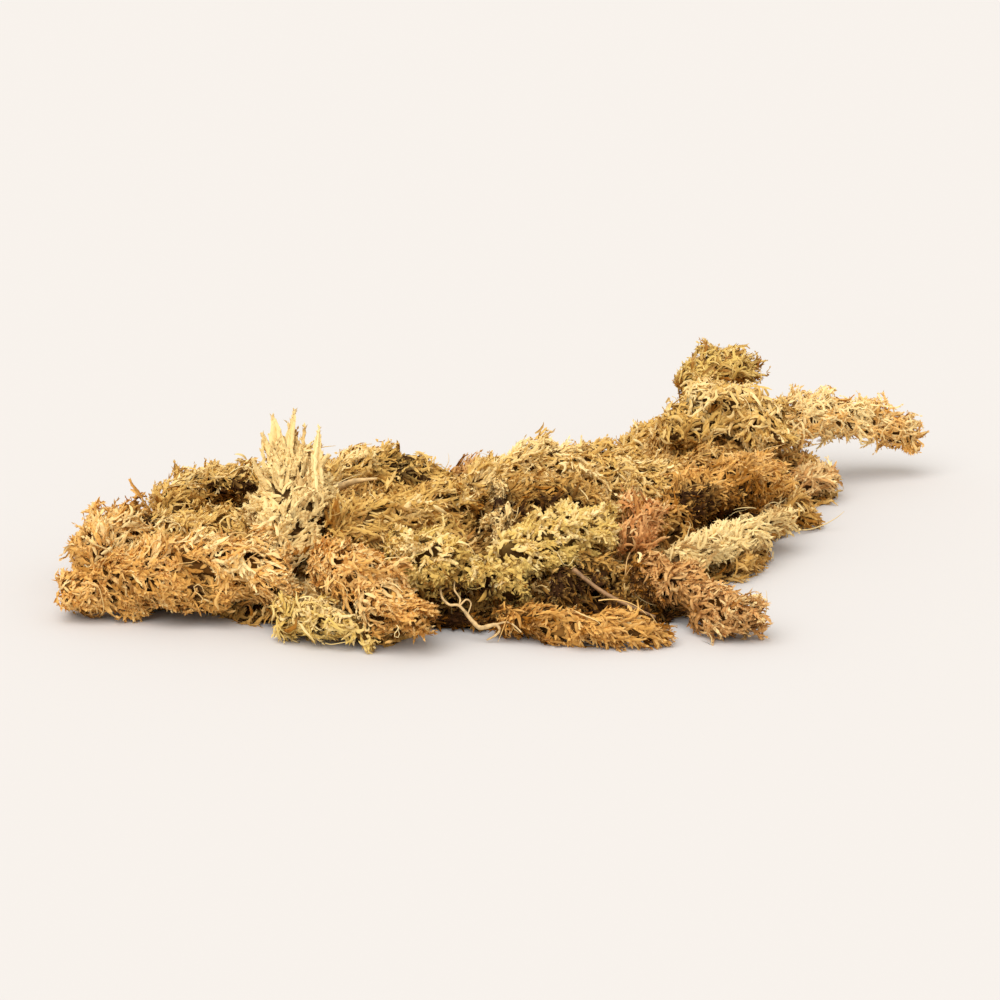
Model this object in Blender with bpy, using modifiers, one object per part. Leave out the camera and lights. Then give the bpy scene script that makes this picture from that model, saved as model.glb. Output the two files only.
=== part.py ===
"""A loose clump of dried long-fibre sphagnum moss, resting on its flat underside.

One mat of tangled plants carries the ropes, tufts and sprigs that can be told
apart, each a solid of its own lying in its own bed, and three bare stems.
Points and sizes are in millimetres, and MM turns them into metres.
+X is the clump's right, -Y its front and +Z up. The floor is at Z = 0.
"""

import math
import random
from collections import namedtuple

import bmesh
import bpy
from mathutils import Matrix, Vector

MM = 0.001

# The middle of the finished footprint, measured in the points below, which becomes the origin.
MIDDLE = (-0.3, -3.52)

# The making of the solids: the voxels that fuse shells, the room left round what lies in a bed, first loosely
# and then trued, and the distance within which a tube's caps are welded on.
VOXEL = 0.9
LOOSE_GAP = 1.5
BED_GAP = 0.4
WELD = 0.001
LINE_STEPS = 5

# A rope is three twisted strands. Offset and radius are shares of the rope's own radius, the twist is a step's.
STRANDS = 3
STRAND_OFFSET = 0.42
STRAND_RADIUS = 0.64
STRAND_TWIST = math.radians(14)

# Side shoots are cones, thick at the root and thin at the tip. They start inside the rope, turn by the golden
# angle from one to the next, and keep to the upper part of the round.
SHOOT_ROOT, SHOOT_BELLY, SHOOT_TIP = 1.9, 1.5, 0.7
SHOOT_BELLY_AT = 0.6
SHOOT_START = 0.5
SHOOT_SPREAD = 0.72
SHOOT_VARIES = 0.2
GOLDEN_ANGLE = math.radians(137.5)

# A rope, tuft or sprig: its centre-line as (x, y, z, radius) points, how many side shoots stand out of it
# and how far, the angle at which they leave, the solid's triangles, its colour, and the lines of tips that
# stand up from it.
Sprig = namedtuple("Sprig", "line shoots reach lean triangles colour tips", defaults=[()])

ORANGE = (0.52, 0.27, 0.07)
GOLD = (0.55, 0.35, 0.11)
STRAW = (0.66, 0.49, 0.21)
GREEN = (0.50, 0.41, 0.14)
BROWN = (0.36, 0.19, 0.06)
RUST = (0.48, 0.20, 0.07)
DARK = (0.20, 0.11, 0.04)

SPRIGS = {
    "pale_tuft": Sprig(
        [(-50, -42, 8.5, 4.5), (-48.5, -37, 12, 6.3), (-47.5, -31, 15.5, 6.8), (-47, -25.5, 18.5, 6.3), (-46.5, -21, 20, 4)],
        10, 2, 40, 300, STRAW,
        (
            [(-49, -24, 19, 2.8), (-49.4, -21.5, 24.5, 2.4), (-49.9, -19.5, 29.5, 0.8)],
            [(-48.4, -23, 21, 2.4), (-47.4, -21, 26, 1.8), (-45.6, -19, 31, 0.8)],
            [(-43, -25, 19, 2.4), (-42.4, -22, 24.5, 1.6), (-42, -20, 28.6, 0.8)],
        ),
    ),
    "green_tuft": Sprig(
        [(-31, -40, 10, 4), (-27, -44, 10.5, 6), (-22, -47, 9.5, 6), (-18, -48, 8, 4)],
        12, 2.5, 50, 210, GREEN,
    ),
    "leafy_tuft": Sprig(
        [(-12, -41, 9, 3.5), (-6, -38, 10, 5.5), (1, -33, 10.5, 6), (6.5, -29, 11, 4), (10, -26.5, 11, 1.5)],
        12, 3.5, 35, 220, GREEN,
    ),
    "hump_rope": Sprig(
        [(-71, 2, 5, 3.5), (-68, 6, 9, 4), (-62, 7, 11.2, 4.2), (-55, 5, 11.8, 4.2), (-48, 2, 10.5, 3.8), (-43, 0, 8.5, 3)],
        12, 2, 25, 220, GOLD,
    ),
    "top_tuft": Sprig(
        [(34, 35, 20, 3.6), (38, 38, 22.5, 4.8), (43, 41, 24, 4.6), (47.5, 42, 23, 2.2)],
        12, 3, 45, 190, GREEN,
    ),
    "red_tuft": Sprig(
        [(11, -32, 8, 2.3), (13, -30, 10.5, 3.3), (14.4, -26.5, 12.2, 3.4), (15.5, -22.5, 13, 1.8)],
        8, 2.5, 50, 120, RUST,
    ),
    "ridge_rope": Sprig(
        [(-14, -6, 11, 3.5), (-7, 0, 13, 5), (2, 4, 13.5, 5.5), (11, 3, 13.5, 5), (19, -2, 12.5, 4.5), (26, -8, 10, 3)],
        16, 3, 40, 250, GOLD,
    ),
    "centre_rope": Sprig(
        [(-43, -10, 11, 3.5), (-38, -2, 13.5, 4.8), (-30, 3, 14, 5.2), (-22, 0, 12.6, 4.6), (-17, -8, 11, 3.2)],
        14, 2.2, 40, 230, GOLD,
    ),
    "curled_rope": Sprig(
        [(29, 20, 14, 3.6), (33, 24.5, 17.5, 5), (40, 28.5, 19, 5.8), (46.5, 26, 17, 5), (49.5, 19, 13, 3.5)],
        14, 3, 45, 230, GOLD,
    ),
    "left_tuft": Sprig(
        [(-81, -25, 5, 4.5), (-80, -18, 7, 6), (-77, -10, 7, 6), (-74, -3, 5, 3.5)],
        14, 3, 50, 220, ORANGE,
    ),
    "front_left_rope": Sprig(
        [(-87, -35, 4, 3.2), (-78, -37, 5.8, 5.5), (-67, -39, 7.5, 6.5), (-57, -41, 9, 6.5), (-48, -44, 9, 4.5)],
        18, 3, 30, 280, ORANGE,
    ),
    "front_rope": Sprig(
        [(-42, -45, 10, 4), (-39, -50, 10.5, 5.2), (-35, -54.5, 9, 5.2), (-32, -58, 6.2, 4.2), (-29.5, -60.5, 4.2, 2.6)],
        14, 2.5, 22, 230, ORANGE,
    ),
    "front_tuft": Sprig(
        [(-50, -51, 2.8, 2.6), (-45, -54, 3.6, 3.5), (-40, -56.5, 3.6, 3.5), (-35, -58.5, 2.8, 2.4)],
        10, 2, 55, 140, GREEN,
    ),
    "green_knot": Sprig(
        [(-16, -46, 7, 3), (-12, -49, 7, 4.2), (-8, -50, 6, 3.3)],
        7, 2.5, 50, 110, GREEN,
    ),
    "floor_strand": Sprig(
        [(-14, -53, 2.6, 2.3), (-8, -57, 3, 3.2), (0, -60, 3.1, 3.4), (7, -61.5, 2.7, 2.8), (13, -62, 1.9, 1.6)],
        14, 1.3, 30, 220, GOLD,
    ),
    "brown_sprig": Sprig(
        [(11, -42, 6.5, 3.5), (15, -46, 6, 4.2), (20, -52, 4.8, 4.4), (24, -57.5, 3.9, 4), (27.5, -62, 3.3, 2.9)],
        14, 2, 25, 220, BROWN,
    ),
    "pale_sprig": Sprig(
        [(19, -35, 6, 2.6), (26, -29, 6, 3.2), (33, -21, 6, 3.3), (39, -14, 6.2, 2.9), (44, -9, 6.2, 1.5)],
        16, 3, 28, 220, STRAW,
    ),
    "short_sprig": Sprig(
        [(46, 15, 4.5, 2.8), (52, 20, 4.2, 3), (57.5, 24, 4, 2.8), (62.5, 27.5, 3.4, 1.4)],
        10, 2, 25, 140, BROWN,
    ),
    "long_sprig": Sprig(
        [(46, 30, 12, 4.5), (52, 35, 12.5, 5.2), (58, 38, 13.2, 5.4), (64, 41, 13.2, 5.1), (72.5, 43, 11.8, 4.5), (79, 43.5, 9.8, 3.3), (84, 42.5, 6.6, 1.7)],
        20, 2.5, 32, 320, ORANGE,
    ),
    "right_rope": Sprig(
        [(20, -17, 9.5, 3.5), (27, -13, 10.5, 5.2), (34, -6, 10.5, 6), (41, 2, 9.5, 5.5), (47, 10, 8, 3.5)],
        16, 3, 40, 240, ORANGE,
    ),
    "heart_rope": Sprig(
        [(-42, -35, 11.5, 3.5), (-35, -30, 13, 5.2), (-27, -26, 13.5, 5.5), (-19, -22, 12.5, 4.8), (-13, -17, 11, 3)],
        14, 2.5, 40, 230, GOLD,
    ),
    "left_middle_rope": Sprig(
        [(-73, -12, 6.5, 3), (-67, -16, 8.5, 4.2), (-60, -19, 9.5, 4.5), (-54, -22, 9.5, 3)],
        10, 2.5, 40, 170, GOLD,
    ),
    "back_left_rope": Sprig(
        [(-70, 13, 4, 3.2), (-61, 17, 5.5, 5), (-50, 20, 6, 5.5), (-39, 21, 6, 5.2), (-30, 22, 5, 3.5)],
        14, 3, 35, 220, GOLD,
    ),
    "back_middle_rope": Sprig(
        [(-24, 20, 4.5, 3.5), (-15, 24, 4.5, 4.6), (-4, 27, 5, 5.4), (8, 30, 5.6, 5.2), (17, 35, 6, 3.5)],
        16, 3, 35, 240, BROWN,
    ),
    "back_right_rope": Sprig(
        [(23, 44, 6, 4), (31, 49, 6.5, 5.2), (40, 52, 6, 4.8), (49, 53, 4.2, 2.8)],
        12, 3, 35, 190, GOLD,
    ),
    "pale_strand": Sprig(
        [(-10, -12, 15.5, 1.4), (-9.5, -18, 14.5, 2), (-10.5, -24, 13, 2.2), (-12, -29, 11, 1.4)],
        4, 1.2, 20, 70, STRAW,
    ),
}

# Bare stems: centre-line points, the radius and the colour.
STEMS = {
    "bare_stem": ([(-43, -16, 15), (-39.5, -19, 17), (-36, -21.5, 19), (-32, -23, 19.8)], 0.9, STRAW),
    "root_fibre": (
        [(-23.2, -51, 8.2), (-23.1, -54, 7), (-22, -55.5, 6.2), (-20.4, -56, 6.1), (-18.2, -57.3, 3.6), (-17, -57.6, 2.7),
         (-14.6, -57.8, 3.2), (-13.9, -58.2, 2.4), (-14.6, -58, 1.4), (-16, -57.6, 0.5)], 0.35, STRAW),
    "dark_twig": ([(0, -46.5, 9), (4, -50.5, 6.4), (8, -53.8, 4.8), (12.5, -57, 3.4)], 0.4, DARK),
}

# The mat: ellipsoid lumps, each a middle and three radii, smoothed into each other, and locks of moss lying on
# them. A lock's shape is its radius at shares of its length from its middle.
MAT_LUMPS = [
    ((-66, -22, 1), (17, 15, 9)),
    ((-60, -2, 0), (17, 18, 8)),
    ((-48, -30, 2), (16, 16, 10)),
    ((-46, 7, 0), (18, 17, 10)),
    ((-38, -46, 0), (13, 13, 9)),
    ((-20, -43, -1), (9, 7, 7)),
    ((-32, -20, 2), (19, 22, 14)),
    ((-25, 5, 0), (20, 18, 13)),
    ((-3, -8, 1), (21, 20, 14)),
    ((-1, -36, 0), (13, 18, 10)),
    ((2, 14, 0), (22, 16, 11)),
    ((13, -40, -1), (12, 12, 8)),
    ((24, -12, 0), (18, 17, 12)),
    ((35, 12, 0), (17, 19, 14)),
    ((38.5, 33, 2), (14.5, 15, 16)),
    ((52, 32, 0), (13, 12, 9)),
]
MAT_SMOOTHING = 8
MAT_LOCKS = 80
LOCK_LENGTH = (13, 22)
LOCK_RADIUS = (2.2, 3.4)
LOCK_SHAPE = ((-0.5, 0.3), (-0.25, 0.9), (0.15, 1.0), (0.5, 0.3))
LOCK_SINK = 0.8
LOCK_FLOW = math.radians(25)
LOCK_TURN = math.radians(55)
MAT_TRIANGLES = 2450
MAT_COLOUR = BROWN

# A block below the floor that cuts off what would reach under it: wide, deep and thick.
FLOOR_SLAB = (260, 220, 30)
SEED = 41


def smooth_line(points, steps=LINE_STEPS):
    """Points of the Catmull-Rom curve through the given ones, each with its radius."""
    ends = [points[0], *points, points[-1]]
    rows = []
    for i in range(1, len(ends) - 2):
        before, start, end, after = (Vector(p) for p in ends[i - 1 : i + 3])
        for k in range(steps):
            t = k / steps
            rows.append(
                0.5
                * (
                    2 * start
                    + t * (end - before)
                    + t * t * (2 * before - 5 * start + 4 * end - after)
                    + t * t * t * (3 * start - before - 3 * end + after)
                )
            )
    rows.append(Vector(points[-1]))
    return rows


def around(rows, k, turn):
    """The direction along a line at its point k, and the one to its side at the given turn from straight up."""
    along = (rows[min(k + 1, len(rows) - 1)].xyz - rows[max(k - 1, 0)].xyz).normalized()
    up = (Vector((0, 0, 1)) - along * along.z).normalized()
    side = Matrix.Rotation(turn, 3, along) @ up
    return along, side


def strands(sprig, rng):
    """The strands that are twisted into a rope, each a tube beside the centre-line."""
    rows = smooth_line(sprig.line)
    start = rng.uniform(0, math.tau)
    lines = []
    for strand in range(STRANDS):
        line = []
        for k, row in enumerate(rows):
            turn = start + strand / STRANDS * math.tau + k * STRAND_TWIST
            _, side = around(rows, k, turn)
            line.append((*(row.xyz + side * row.w * STRAND_OFFSET), row.w * STRAND_RADIUS))
        lines.append(line)
    return lines


def side_shoots(sprig, rng):
    """Short cones that stand out of a rope round and round, leaning towards its tip, and none straight down."""
    rows = smooth_line(sprig.line)
    shoots = []
    for i in range(sprig.shoots):
        k = int((i + SHOOT_START) / sprig.shoots * (len(rows) - 1))
        turn = (i * GOLDEN_ANGLE + math.pi) % math.tau - math.pi
        along, side = around(rows, k, turn * SHOOT_SPREAD)
        lean = math.radians(sprig.lean * rng.uniform(1 - SHOOT_VARIES, 1 + SHOOT_VARIES))
        away = along * math.cos(lean) + side * math.sin(lean)
        root = rows[k].w * SHOOT_START
        base = rows[k].xyz + side * root
        tip = base + away * (root / math.sin(lean) + sprig.reach * rng.uniform(1, 1 + 2 * SHOOT_VARIES))
        belly = base.lerp(tip, SHOOT_BELLY_AT)
        shoots.append([(*base, SHOOT_ROOT), (*belly, SHOOT_BELLY), (*tip, SHOOT_TIP)])
    return shoots


def tube(name, lines, resolution=2):
    """A mesh of closed tubes, one along each line of (x, y, z, radius) points."""
    curve = bpy.data.curves.new(name, "CURVE")
    curve.dimensions = "3D"
    curve.bevel_depth = MM
    curve.bevel_resolution = resolution
    curve.use_fill_caps = True
    for line in lines:
        spline = curve.splines.new("POLY")
        spline.points.add(len(line) - 1)
        for point, (x, y, z, radius) in zip(spline.points, line):
            point.co = (x * MM, y * MM, z * MM, 1)
            point.radius = radius
    drawn = bpy.data.objects.new(name, curve)
    bpy.context.scene.collection.objects.link(drawn)
    bpy.context.view_layer.update()
    mesh = bpy.data.meshes.new_from_object(drawn.evaluated_get(bpy.context.evaluated_depsgraph_get()))
    bpy.data.objects.remove(drawn)
    bpy.data.curves.remove(curve)
    weld(mesh)
    return mesh


def weld(mesh):
    """Joins the loose caps of a tube to its wall."""
    form = bmesh.new()
    form.from_mesh(mesh)
    bmesh.ops.remove_doubles(form, verts=form.verts, dist=WELD * MM)
    form.to_mesh(mesh)
    form.free()


def ellipsoids(name, lumps):
    """A mesh of overlapping ellipsoids."""
    form = bmesh.new()
    for middle, radii in lumps:
        place = Matrix.Translation(Vector(middle) * MM)
        size = Matrix.Diagonal((*(r * MM for r in radii), 1))
        bmesh.ops.create_uvsphere(form, u_segments=24, v_segments=14, radius=1, matrix=place @ size)
    mesh = bpy.data.meshes.new(name)
    form.to_mesh(mesh)
    form.free()
    return mesh


def joined(name, meshes):
    """One mesh out of several."""
    form = bmesh.new()
    for mesh in meshes:
        form.from_mesh(mesh)
        bpy.data.meshes.remove(mesh)
    mesh = bpy.data.meshes.new(name)
    form.to_mesh(mesh)
    form.free()
    return mesh


def largest_body(mesh):
    """Keeps the biggest connected body of a mesh."""
    form = bmesh.new()
    form.from_mesh(mesh)
    bmesh.ops.triangulate(form, faces=form.faces)
    unseen, bodies = set(form.faces), []
    while unseen:
        front = [unseen.pop()]
        body = set(front)
        while front:
            face = front.pop()
            for edge in face.edges:
                for other in edge.link_faces:
                    if other in unseen:
                        unseen.discard(other)
                        body.add(other)
                        front.append(other)
        bodies.append(body)
    keep = max(bodies, key=lambda body: sum(face.calc_area() for face in body))
    bmesh.ops.delete(form, geom=[f for f in form.faces if f not in keep], context="FACES")
    form.to_mesh(mesh)
    form.free()


def evaluated(obj):
    """The object's mesh with its modifiers applied."""
    bpy.context.view_layer.update()
    return bpy.data.meshes.new_from_object(obj.evaluated_get(bpy.context.evaluated_depsgraph_get()))


def one_skin(obj):
    """Makes overlapping shells one skin."""
    skin = obj.modifiers.new("one_skin", "REMESH")
    skin.mode = "VOXEL"
    skin.voxel_size = VOXEL * MM


def coarse(obj, triangles):
    """Brings a dense skin down to a number of triangles, and makes it the object's mesh."""
    dense = evaluated(obj)
    dense.calc_loop_triangles()
    thin = obj.modifiers.new("coarse", "DECIMATE")
    thin.ratio = triangles / len(dense.loop_triangles)
    thin.use_collapse_triangulate = True
    settle(obj)
    largest_body(obj.data)


def settle(obj):
    """Makes what the modifiers show the object's own mesh."""
    obj.data = evaluated(obj)
    obj.modifiers.clear()


def only_cuts(obj, cutters):
    """Makes the object one that only cuts others."""
    cutters.objects.link(obj)
    obj.hide_render = True
    obj.display_type = "WIRE"


def grown(name, mesh, gap, cutters):
    """A cutter of a piece's form, larger by the gap that a bed leaves round it."""
    cutter = bpy.data.objects.new(name, mesh)
    only_cuts(cutter, cutters)
    swell = cutter.modifiers.new("gap", "DISPLACE")
    swell.strength = gap * MM
    swell.mid_level = 0
    return cutter


def overlap(one, other):
    """Whether the boxes of two objects meet."""
    boxes = []
    for obj in (one, other):
        corners = [obj.matrix_world @ Vector(c) for c in obj.bound_box]
        boxes.append([(min(c[i] for c in corners), max(c[i] for c in corners)) for i in range(3)])
    return all(a[0] < b[1] and b[0] < a[1] for a, b in zip(*boxes))


def less(obj, cutter):
    """Cuts the cutter's form out of the object."""
    cut = obj.modifiers.new("bed", "BOOLEAN")
    cut.object = cutter
    cut.operation = "DIFFERENCE"
    cut.solver = "MANIFOLD"


def bedded(obj, cutters):
    """Cuts from the object the room that each of the cutters needs."""
    for cutter in cutters:
        if overlap(obj, cutter):
            less(obj, cutter)
            settle(obj)
    largest_body(obj.data)


def dressed(obj, colour):
    """Gives the object dull dry moss of one colour."""
    material = bpy.data.materials.new(obj.name)
    material.use_nodes = True
    shader = material.node_tree.nodes["Principled BSDF"]
    shader.inputs["Base Color"].default_value = (*colour, 1)
    shader.inputs["Roughness"].default_value = 0.9
    shader.inputs["Metallic"].default_value = 0
    obj.data.materials.clear()
    obj.data.materials.append(material)


def mat_height(x, y):
    """The top of the mat's lumps over a place on the floor, or zero beside them."""
    top = 0.0
    for (cx, cy, cz), (rx, ry, rz) in MAT_LUMPS:
        inside = 1 - ((x - cx) / rx) ** 2 - ((y - cy) / ry) ** 2
        if inside > 0:
            top = max(top, cz + rz * math.sqrt(inside))
    return top


def mat_locks(rng):
    """Short locks of moss lying on the mat, each following its surface and dipping in at both ends."""
    locks = []
    while len(locks) < MAT_LOCKS:
        (cx, cy, _), (rx, ry, _) = rng.choice(MAT_LUMPS)
        x, y = cx + rx * rng.uniform(-1, 1), cy + ry * rng.uniform(-1, 1)
        if mat_height(x, y) == 0:
            continue
        turn = LOCK_FLOW + rng.uniform(-LOCK_TURN, LOCK_TURN)
        length, radius = rng.uniform(*LOCK_LENGTH), rng.uniform(*LOCK_RADIUS)
        line = []
        for share, thick in LOCK_SHAPE:
            px = x + math.cos(turn) * length * share
            py = y + math.sin(turn) * length * share
            line.append((px, py, max(mat_height(px, py) - LOCK_SINK, radius * thick), radius * thick))
        locks.append([tuple(p) for p in smooth_line(line, 3)])
    return locks


def build_sprigs(parts, cutters, floor):
    """Every rope, tuft and sprig, each cut clear of the ones before it and of the floor."""
    beds = []
    for number, (name, sprig) in enumerate(SPRIGS.items()):
        rng = random.Random(SEED + number)
        obj = bpy.data.objects.new(name, tube(name, [*strands(sprig, rng), *side_shoots(sprig, rng), *sprig.tips]))
        parts.objects.link(obj)
        one_skin(obj)
        coarse(obj, sprig.triangles)
        bedded(obj, [*beds, floor])
        dressed(obj, sprig.colour)
        beds.append(grown(name + "_bed", obj.data.copy(), BED_GAP, cutters))
    return beds


def build_stems(parts, cutters, beds):
    """The bare stems, thin tubes that lie on the moss."""
    for name, (points, radius, colour) in STEMS.items():
        line = [(*p.xyz, radius) for p in smooth_line([(*p, 0) for p in points], 3)]
        obj = bpy.data.objects.new(name, tube(name, [line], 1))
        parts.objects.link(obj)
        bedded(obj, beds)
        dressed(obj, colour)
        beds.append(grown(name + "_bed", obj.data.copy(), BED_GAP, cutters))


def build_mat(parts, cutters, beds, floor):
    """The mat. Its beds are first sunk loosely into the dense skin, then trued on the coarse one."""
    rng = random.Random(SEED)
    carried = joined("carried", [obj.data.copy() for obj in parts.objects])
    obj = bpy.data.objects.new("matted_moss", ellipsoids("matted_moss", MAT_LUMPS))
    parts.objects.link(obj)
    one_skin(obj)
    round_off = obj.modifiers.new("round_off", "SMOOTH")
    round_off.iterations = MAT_SMOOTHING
    settle(obj)
    obj.data = joined("matted_moss", [obj.data.copy(), tube("locks", mat_locks(rng))])
    room = grown("room", carried, LOOSE_GAP, cutters)
    one_skin(room)
    one_skin(obj)
    less(obj, room)
    one_skin(obj)
    coarse(obj, MAT_TRIANGLES)
    bedded(obj, [*beds, floor])
    dressed(obj, MAT_COLOUR)


def floor_slab(cutters):
    """What lies below the floor, which nothing reaches."""
    wide, deep, thick = (s * MM for s in FLOOR_SLAB)
    bpy.ops.mesh.primitive_cube_add(size=1, location=(0, 0, -thick / 2))
    slab = bpy.context.object
    slab.name = "below_the_floor"
    slab.scale = (wide, deep, thick)
    for collection in slab.users_collection:
        collection.objects.unlink(slab)
    only_cuts(slab, cutters)
    bpy.context.view_layer.update()
    return slab


def main():
    for obj in list(bpy.data.objects):
        bpy.data.objects.remove(obj)
    parts = bpy.data.collections.new("moss_clump")
    cutters = bpy.data.collections.new("cutters")
    for collection in (parts, cutters):
        bpy.context.scene.collection.children.link(collection)
    floor = floor_slab(cutters)
    beds = build_sprigs(parts, cutters, floor)
    build_stems(parts, cutters, beds)
    build_mat(parts, cutters, beds, floor)
    for obj in [*parts.objects, *cutters.objects]:
        obj.location.x -= MIDDLE[0] * MM
        obj.location.y -= MIDDLE[1] * MM


main()
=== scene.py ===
"""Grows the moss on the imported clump: leafy branches, curled branchlets and fine stems."""

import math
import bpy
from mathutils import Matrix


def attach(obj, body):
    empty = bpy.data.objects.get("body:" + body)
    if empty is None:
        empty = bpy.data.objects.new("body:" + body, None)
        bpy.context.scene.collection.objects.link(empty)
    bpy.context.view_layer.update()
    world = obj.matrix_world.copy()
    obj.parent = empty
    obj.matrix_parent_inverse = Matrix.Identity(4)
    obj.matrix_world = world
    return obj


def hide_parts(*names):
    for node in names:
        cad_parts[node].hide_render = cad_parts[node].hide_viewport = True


bl_info = {
    "name": "Dried moss clump",
    "version": (1, 0, 0),
    "blender": (4, 5, 0),
    "location": "3D View > Sidebar > Moss clump",
    "description": "Covers a clump of dried sphagnum with leafy branches, curls and fine stems",
    "category": "Object",
}

from collections import namedtuple
from functools import partial

import bpy
import numpy as np
from bpy.props import FloatProperty, FloatVectorProperty, IntProperty, PointerProperty
from mathutils import Vector

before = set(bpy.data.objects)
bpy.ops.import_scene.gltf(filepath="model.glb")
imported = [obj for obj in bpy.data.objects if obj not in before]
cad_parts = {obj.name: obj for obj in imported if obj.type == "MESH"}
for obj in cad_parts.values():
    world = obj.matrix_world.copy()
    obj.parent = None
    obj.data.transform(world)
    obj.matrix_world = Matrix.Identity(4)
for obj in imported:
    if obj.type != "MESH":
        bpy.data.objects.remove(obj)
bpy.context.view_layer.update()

MM = 0.001
SEED = 41
TAU = 2 * math.pi
# Corners closer than the weld are one point, and nothing comes closer to the floor than its gap.
WELD = 0.02 * MM
FLOOR_GAP = 0.03 * MM

# A leaf on a branch: how far round the branch it is turned from the last one, the share of the way round
# that leaves take up, how much shorter the last is than the first, how far along it its wings lie and how
# far they are folded in, as shares of its length and its half width, and how high it stands on the
# branch, as a share of the branch's half width.
GOLDEN_ANGLE = math.radians(137.5)
LEAVES_ROUND = 0.72
LEAVES_TAPER = 0.45
WINGS_ALONG = 0.42
WINGS_IN = 0.35
LEAF_FOOT = 0.6

# How many branches root at one place, the steps of a branch, a curl and a wisp, how far apart the wisps
# root in mm, the strands of a horn and the leaves on each, and the sides of a round strand.
STRANDS_TOGETHER = 3
STRIDES = 5
CURL_STEPS = 5
WISP_STEPS = 9
WISPS_APART = 11
HORN_STRANDS = 6
HORN_LEAVES = 14
THREAD_SIDES = 3
STALK_SIDES = 8

# A strand's length, and how far back from its rooting place it starts, as shares of its habit's and its
# own length. The share of strands that have gone pale, and what tint they gain.
LENGTHS = (0.5, 1.3)
BRANCH_BACK, CURL_BACK = 0.35, 0.4
PALE_SHARE, PALE_GAIN = 0.06, 0.28

# The lengths of the waves that turn the mat's moss, part the moss into locks, raise the locks and the
# small dips in them, and tint it broadly and from lock to lock.
DRIFTS, PARTINGS = 45 * MM, 9 * MM
LOCKS, DIPS = 11 * MM, 4.5 * MM
BROAD_SHADES, LOCK_SHADES = 30 * MM, 12 * MM

# The body below, painted dark as shade: how far the mat's is sunk, the share of a plant's radius that
# it keeps, at most and at least, how rough it is in mm, and how far under the skin it stays.
SUNK = 2.8 * MM
KEPT, LEAST_KEPT = 0.66, 0.35
ROUGH = 0.4
UNDER_SKIN = 0.8 * MM

# A side shoot starts this many radii off a plant's centre-line, and is at most this long.
SHOOT_FROM = 1.1
LONGEST_SHOOT = 4 * MM

# The guide lines below were measured on the floor from a zero that lies here in the frame, in mm.
ZERO = np.array([0.3, 3.52, 0.0])

# How a kind of plant grows, in mm and degrees: the length of its branches, how far apart they root, half
# their width, the length and width of their leaves, how far those stand off, the share of branches whose
# tips stand out, how much a branch wanders, how far apart its curled branchlets root, how long they are
# and half their width, and its tint from old and dark at 0 to bleached at 1.
Habit = namedtuple("Habit", "branch spacing half leaf width spread wild wander curls curl broad tint")
HABITS = {
    "rope": Habit(5.0, 2.2, 0.36, 1.2, 0.75, 13, 0.06, 10, 1.9, 3.4, 0.28, 0.50),
    "tuft": Habit(4.8, 2.3, 0.35, 1.3, 0.72, 17, 0.16, 11, 1.9, 3.2, 0.27, 0.52),
    "scaly": Habit(3.2, 2.2, 0.38, 1.05, 0.85, 22, 0.05, 10, 1.9, 2.4, 0.34, 0.55),
    "curly": Habit(4.8, 2.4, 0.34, 1.1, 0.62, 14, 0.08, 20, 1.75, 3.8, 0.27, 0.53),
    "wormy": Habit(4.8, 2.4, 0.40, 1.1, 0.66, 14, 0.08, 20, 1.8, 4.4, 0.36, 0.53),
    "flaky": Habit(4.0, 2.3, 0.38, 1.2, 0.80, 13, 0.05, 9, 1.7, 3.2, 0.34, 0.56),
    "mat": Habit(5.0, 2.5, 0.36, 1.2, 0.72, 15, 0.07, 12, 1.9, 3.6, 0.27, 0.40),
}

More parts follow.
